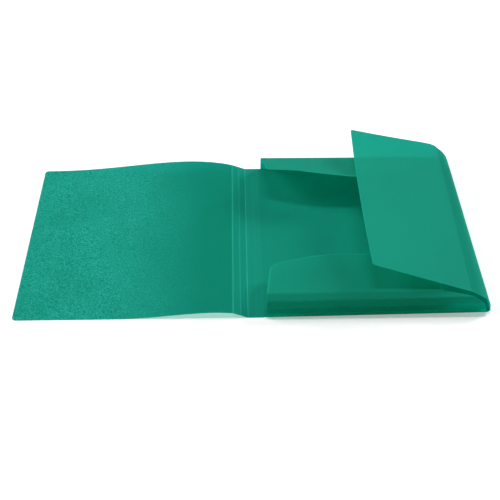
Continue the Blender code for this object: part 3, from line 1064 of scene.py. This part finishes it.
class NodeTree:
    """Short calls for building a material's or the world's nodes."""

    def __init__(self, tree: bpy.types.NodeTree) -> None:
        """Start from an empty tree."""
        self.tree = tree
        tree.nodes.clear()

    def add(self, kind: str, **values: object) -> bpy.types.Node:
        """Add a node and set its own properties.

        Args:
            kind: Blender's type name of the node.
            values: properties of the node.
        Returns:
            the new node.
        """
        node = self.tree.nodes.new(kind)
        for name, value in values.items():
            setattr(node, name, value)
        return node

    def join(self, source: Socket, target: Socket) -> None:
        """Link one socket to another."""
        self.tree.links.new(source, target)

    def own_place(self) -> Socket:
        """Place in the piece's own coordinates."""
        return self.add("ShaderNodeTexCoord").outputs["Object"]

    def set(self, node: bpy.types.Node, inputs: dict[str | int, object]) -> bpy.types.Node:
        """Give a node its inputs.

        Args:
            node: node to fill.
            inputs: a socket to join, a colour or a number for each input's name or place.
        Returns:
            the same node.
        """
        for name, value in inputs.items():
            if isinstance(value, Socket):
                self.join(value, node.inputs[name])
            else:
                node.inputs[name].default_value = value
        return node

    def noise(self, scale: float, detail: float) -> Socket:
        """Noise on Object coordinates.

        Args:
            scale: waves per metre.
            detail: octaves.
        Returns:
            the noise's value socket.
        """
        noise = self.add("ShaderNodeTexNoise")
        self.set(noise, {"Scale": scale, "Detail": detail, "Vector": self.own_place()})
        return noise.outputs["Fac"]

    def fit(self, value: Socket, start: float, stop: float,
            low: float = 0.0, high: float = 1.0) -> Socket:
        """Map a value from one range to another, held at its ends.

        Args:
            value: socket to map.
            start: value that gives low.
            stop: value that gives high.
            low: result at the start.
            high: result at the stop.
        Returns:
            the mapped socket.
        """
        node = self.add("ShaderNodeMapRange")
        self.set(node, {"Value": value, "From Min": start, "From Max": stop,
                        "To Min": low, "To Max": high})
        return node.outputs["Result"]

    def combine(self, operation: str, first: Socket, second: Socket) -> Socket:
        """Join two values by a sum, product or the like.

        Args:
            operation: Blender's name of the operation.
            first: first value.
            second: second value.
        Returns:
            the result's socket, held between 0 and 1.
        """
        node = self.add("ShaderNodeMath", operation=operation, use_clamp=True)
        return self.set(node, {0: first, 1: second}).outputs["Value"]

    def mix_colour(self, factor: Socket, first: Socket | Opaque, second: Socket | Opaque) -> Socket:
        """Mix two colours, each given as a socket or outright.

        Args:
            factor: share of the second colour.
            first: first colour.
            second: second colour.
        Returns:
            the mixed colour's socket.
        """
        node = self.add("ShaderNodeMix", data_type="RGBA")
        return self.set(node, {"Factor": factor, "A": first, "B": second}).outputs["Result"]

    def mix_shaders(self, factor: Socket | float, first: Socket, second: Socket) -> Socket:
        """Mix two shaders.

        Args:
            factor: share of the second shader.
            first: first shader.
            second: second shader.
        Returns:
            the mixed shader's socket.
        """
        node = self.add("ShaderNodeMixShader")
        return self.set(node, {"Fac": factor, 1: first, 2: second}).outputs["Shader"]

    def bump(self, height: Socket, strength: float, distance: float) -> Socket:
        """Bumped normal.

        Args:
            height: height socket.
            strength: share of the bump that is used.
            distance: height of the bump in metres.
        Returns:
            the normal's socket.
        """
        node = self.add("ShaderNodeBump")
        self.set(node, {"Strength": strength, "Distance": distance, "Height": height})
        return node.outputs["Normal"]

    def shader(self, kind: str, inputs: dict[str | int, object]) -> Socket:
        """Shader of the given kind with the given inputs."""
        return self.set(self.add(kind), inputs).outputs[0]

    def seen_directly(self) -> Socket:
        """One for camera, glossy and clear transmission rays, and zero for diffuse ones.

        Returns:
            the value's socket.
        """
        path = self.add("ShaderNodeLightPath")
        seen = self.combine("MAXIMUM", path.outputs["Is Camera Ray"], path.outputs["Is Glossy Ray"])
        seen = self.combine("MAXIMUM", seen, path.outputs["Is Transmission Ray"])
        return self.combine("SUBTRACT", seen, path.outputs["Is Diffuse Ray"])

    def finish(self, kind: str, socket: Socket) -> None:
        """Join a shader to the output node of the given kind."""
        self.join(socket, self.add(kind).inputs["Surface"])


def new_material(name: str) -> tuple[Material, NodeTree]:
    """Start a material without nodes.

    Args:
        name: name of the material.
    Returns:
        the material and its empty tree.
    """
    material = bpy.data.materials.new(name)
    material.use_nodes = True
    return material, NodeTree(material.node_tree)


@dataclass(frozen=True)
class SheetFinish:
    """Translucent green plastic sheet with a fine matt grain, paler where a crease has whitened it under
    stress, and paler again by painted light: a painted glow along cut edges and painted highlights on
    some gusset strips and on the side flap, all carried by the whitening attribute.

    Pale flecks on the grain are a painted sheen on the front cover's free part: along the sheet's own X
    their share falls from 1 at free_end to 0 at bow_end, and wide soft clouds, a painted mottle of that
    sheen, thin them to cloud_low of that. From bow_start to spine_end an even paleness rises to its full
    share, which lifts all the sheet from there towards the fore edge and leaves painted shade on the
    bowed part of the front cover.
    """

    name: str = "translucent_green_sheet"
    colour: Colour = (0.018, 0.385, 0.275)
    # Tone of stress whitening, also used for the painted glow and painted highlights in the same
    # attribute.
    stressed: Colour = (0.10, 0.88, 0.75)
    # Tone of the painted sheen on the grain and of the lift beside the painted bow shade.
    speck: Colour = (0.105, 1.0, 0.86)
    through: Colour = (0.025, 0.95, 0.80)
    tint: Colour = (0.05, 0.95, 0.86)
    translucency: float = 0.58
    clearness: float = 0.25
    roughness: float = 0.42
    specular: float = 0.02
    gloss: Colour = (0.03, 1.0, 0.96)
    sheen: float = 0.8
    sheen_roughness: float = 0.45
    grain_scale: float = 800.0
    grain_detail: float = 1.0
    speck_start: float = 0.47
    speck_stop: float = 0.55
    grain_height: float = 0.00006
    grain_strength: float = 0.3
    roughness_spread: float = 0.06
    roughness_start: float = 0.3
    roughness_stop: float = 0.7
    cloud_scale: float = 13.0
    cloud_detail: float = 2.0
    cloud_start: float = 0.35
    cloud_stop: float = 0.62
    cloud_low: float = 0.72
    free_end: float = -0.135
    bow_end: float = -0.05
    bow_start: float = -0.0205
    spine_end: float = -0.0195
    # Level of the even lift of the sheet beyond the bow; it leaves painted shade on the bowed part.
    spine_share: float = 0.125

    def material(self) -> Material:
        """Reflecting, translucent and clear shares of the sheet, mixed at each of its two faces.

        Returns:
            the sheet's material.
        """
        material, nodes = new_material(self.name)
        grain = nodes.noise(self.grain_scale, self.grain_detail)
        place = nodes.set(nodes.add("ShaderNodeSeparateXYZ"), {"Vector": nodes.own_place()})
        # Share of the painted sheen: full at the cover's free end, none from the bow on.
        free = nodes.fit(place.outputs["X"], self.bow_end, self.free_end)
        # Even lift from bow_start on, which paints the bowed part of the front cover in shade.
        spine = nodes.fit(place.outputs["X"], self.bow_start, self.spine_end, high=self.spine_share)
        # Wide soft clouds: a painted mottle of the sheen.
        clouds = nodes.noise(self.cloud_scale, self.cloud_detail)
        cloud = nodes.fit(clouds, self.cloud_start, self.cloud_stop, low=self.cloud_low)
        painted_sheen_share = nodes.combine("MULTIPLY", free, cloud)
        specks = nodes.fit(grain, self.speck_start, self.speck_stop)
        # The higher of the painted sheen on the grain's flecks and the lift beside the painted bow
        # shade.
        pale = nodes.combine("MAXIMUM", nodes.combine("MULTIPLY", specks, painted_sheen_share), spine)
        body = nodes.mix_colour(pale, opaque(self.colour), opaque(self.speck))
        whitening = nodes.add("ShaderNodeAttribute", attribute_name=WHITENING_AND_PAINTED_LIGHT)
        rough = nodes.fit(grain, self.roughness_start, self.roughness_stop,
                          self.roughness - self.roughness_spread, self.roughness + self.roughness_spread)

        surface = nodes.shader("ShaderNodeBsdfPrincipled", {
            "Base Color": nodes.mix_colour(whitening.outputs["Fac"], body, opaque(self.stressed)),
            "Roughness": rough,
            "Normal": nodes.bump(grain, self.grain_strength, self.grain_height),
            "Specular IOR Level": self.specular,
            "Specular Tint": opaque(self.gloss),
            "Sheen Weight": self.sheen,
            "Sheen Roughness": self.sheen_roughness,
            "Sheen Tint": opaque(self.gloss),
        })
        passing = nodes.shader("ShaderNodeBsdfTranslucent", {"Color": opaque(self.through)})
        clear = nodes.shader("ShaderNodeBsdfTransparent", {"Color": opaque(self.tint)})
        milky = nodes.mix_shaders(self.translucency, surface, passing)
        nodes.finish("ShaderNodeOutputMaterial", nodes.mix_shaders(self.clearness, milky, clear))
        return material


@dataclass(frozen=True)
class BraidFinish:
    """Woven elastic covering: dull thread with a fine fibre."""

    name: str = "braided_green_elastic"
    colour: Colour = (0.004, 0.11, 0.07)
    worn: Colour = (0.012, 0.19, 0.13)
    fibre_scale: float = 5200.0
    fibre_detail: float = 2.0
    fibre_height: float = 0.0001
    fibre_strength: float = 0.5
    worn_start: float = 0.35
    worn_stop: float = 0.7
    roughness: float = 0.85
    sheen: float = 0.3

    def material(self) -> Material:
        """Two thread tones by noise, with a fibre bump and a soft sheen.

        Returns:
            the braid's material.
        """
        material, nodes = new_material(self.name)
        fibre = nodes.noise(self.fibre_scale, self.fibre_detail)
        worn = nodes.fit(fibre, self.worn_start, self.worn_stop)
        surface = nodes.shader("ShaderNodeBsdfPrincipled", {
            "Base Color": nodes.mix_colour(worn, opaque(self.colour), opaque(self.worn)),
            "Roughness": self.roughness,
            "Normal": nodes.bump(fibre, self.fibre_strength, self.fibre_height),
            "Sheen Weight": self.sheen,
        })
        nodes.finish("ShaderNodeOutputMaterial", surface)
        return material


@dataclass(frozen=True)
class BarbFinish:
    """Plated steel of the elastic's end barbs, with faint handling marks."""

    name: str = "plated_steel"
    colour: Colour = (0.56, 0.56, 0.54)
    dull: Colour = (0.42, 0.42, 0.41)
    mark_scale: float = 2600.0
    mark_detail: float = 4.0
    dull_start: float = 0.35
    dull_stop: float = 0.65
    smoothest: float = 0.25
    roughest: float = 0.45

    def material(self) -> Material:
        """Metal whose tone and roughness vary with a fine noise.

        Returns:
            the barbs' material.
        """
        material, nodes = new_material(self.name)
        marks = nodes.noise(self.mark_scale, self.mark_detail)
        dull = nodes.fit(marks, self.dull_start, self.dull_stop)
        surface = nodes.shader("ShaderNodeBsdfPrincipled", {
            "Metallic": 1.0,
            "Base Color": nodes.mix_colour(dull, opaque(self.colour), opaque(self.dull)),
            "Roughness": nodes.fit(marks, 0.0, 1.0, self.smoothest, self.roughest),
        })
        nodes.finish("ShaderNodeOutputMaterial", surface)
        return material


@dataclass(frozen=True)
class FloorFinish:
    """White studio floor: seen directly it is white, and it gives back less light than it shows."""

    name: str = "studio_floor"
    shown: float = 0.95
    glow: float = 0.34
    returned: float = 0.13

    def material(self) -> Material:
        """Diffuse floor whose albedo is higher, with a little glow, where it is seen directly.

        Returns:
            the floor's material.
        """
        material, nodes = new_material(self.name)
        dim, white = [nodes.shader("ShaderNodeBsdfDiffuse", {"Color": opaque((level, level, level))})
                      for level in (self.returned, self.shown)]
        glow = nodes.shader("ShaderNodeEmission", {"Strength": self.glow})
        bright = nodes.shader("ShaderNodeAddShader", {0: white, 1: glow})
        mixed = nodes.mix_shaders(nodes.seen_directly(), dim, bright)
        nodes.finish("ShaderNodeOutputMaterial", mixed)
        return material


@dataclass
class Lamp:
    """A soft box: a rectangular lamp that looks at the folder."""

    name: str
    direction: tuple[float, float, float]
    size: tuple[float, float]
    power: float
    distance: float = 4.0
    target: tuple[float, float, float] = (0.0, 0.0, 0.02)

    def place(self) -> None:
        """Hang the lamp and turn it to its target."""
        light = bpy.data.lights.new(self.name, "AREA")
        light.shape = "RECTANGLE"
        light.size, light.size_y = self.size
        light.energy = self.power
        lamp = bpy.data.objects.new(self.name, light)
        bpy.context.scene.collection.objects.link(lamp)
        away = Vector(self.direction).normalized()
        lamp.location = Vector(self.target) + away * self.distance
        lamp.rotation_euler = away.to_track_quat("Z", "Y").to_euler()
        LOG.info("lamp %s", self.name)


def studio_lamps() -> list[Lamp]:
    """The soft boxes over the folder and on both sides of it.

    Returns:
        the lamps, not yet placed.
    """
    return [
        Lamp("overhead_softbox", direction=(0.0, -0.12, 0.99), size=(1.6, 0.6), power=46.0),
        Lamp("left_softbox", direction=(-0.76, 0.1, 0.64), size=(1.8, 1.8), power=65.0),
        Lamp("right_softbox", direction=(0.74, 0.40, 0.62), size=(1.4, 1.4), power=66.0),
        Lamp("low_right_softbox", direction=(0.84, 0.40, 0.36), size=(1.2, 0.8), power=12.0),
    ]


@dataclass
class Studio:
    """Floor, light and camera."""

    floor_size: float = 2.4
    floor_drop: float = 0.0001
    surroundings: Colour = (1.0, 1.0, 1.0)
    ambient: float = 0.1
    camera_place: tuple[float, float, float] = (-0.01373, -1.26900, 0.82189)
    camera_yaw: float = -0.011488
    camera_pitch: float = 0.583806
    camera_roll: float = -0.00579
    focal_pixels: float = 1304.49
    image_pixels: float = 500.0
    sensor_width: float = 36.0
    lamps: list[Lamp] = field(default_factory=studio_lamps)

    def add_floor(self) -> None:
        """Lay the floor just under the folder."""
        edge = self.floor_size / 2.0
        corners = [(-edge, -edge), (edge, -edge), (edge, edge), (-edge, edge)]
        points = np.array([(x, y, -self.floor_drop) for x, y in corners])
        add_object("floor", points, [[0, 1, 2, 3]], FloorFinish().material())

    def add_world(self) -> None:
        """Pale surroundings: white where they are seen or mirrored, dimmer as light."""
        world = bpy.data.worlds.new("surroundings")
        world.use_nodes = True
        bpy.context.scene.world = world
        nodes = NodeTree(world.node_tree)
        colour = opaque(self.surroundings)
        dim, white = [nodes.shader("ShaderNodeBackground", {"Color": colour, "Strength": level})
                      for level in (self.ambient, 1.0)]
        nodes.finish("ShaderNodeOutputWorld", nodes.mix_shaders(nodes.seen_directly(), dim, white))

    def add_camera(self) -> None:
        """Set the camera by its fitted place, yaw, downward pitch and roll."""
        data = bpy.data.cameras.new("camera")
        data.sensor_width = self.sensor_width
        data.lens = self.focal_pixels * self.sensor_width / self.image_pixels
        camera = bpy.data.objects.new("camera", data)
        bpy.context.scene.collection.objects.link(camera)
        yaw = Matrix.Rotation(self.camera_yaw, 4, "Z")
        pitch = Matrix.Rotation(math.pi / 2.0 - self.camera_pitch, 4, "X")
        roll = Matrix.Rotation(self.camera_roll, 4, "Z")
        camera.matrix_world = Matrix.Translation(self.camera_place) @ yaw @ pitch @ roll
        bpy.context.scene.camera = camera

    def build(self) -> None:
        """Add the whole studio, with plain view settings."""
        bpy.context.scene.view_settings.view_transform = "Standard"
        self.add_floor()
        self.add_world()
        for lamp in self.lamps:
            lamp.place()
        self.add_camera()


def main() -> None:
    """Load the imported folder, dress it and set it in the studio."""
    logging.basicConfig(level=logging.INFO, format="%(name)s: %(message)s")
    for obj in list(bpy.data.objects):
        bpy.data.objects.remove(obj, do_unlink=True)
    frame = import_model()

    places = {joint["name"]: np.array(joint["pos_m"]) for joint in frame["joints"]}
    cover = BackCover(places["spine_crease"])
    sheet = SheetFinish().material()
    braid = BraidFinish().material()
    steel = BarbFinish().material()
    for name, node in frame["nodes"].items():
        node.data.materials.clear()
        node.data.materials.append(steel if name.endswith("_barb") else sheet)

    SpineAndFrontCover(cover, places["front_cover_crease"]).dress(sheet)
    for flap in (*end_flaps(cover), SideFlap(cover)):
        flap.assembly().dress(sheet)
    for side in Side:
        CornerElastic(side, cover).dress(braid)
    Studio().build()


if __name__ == "__main__":
    main()
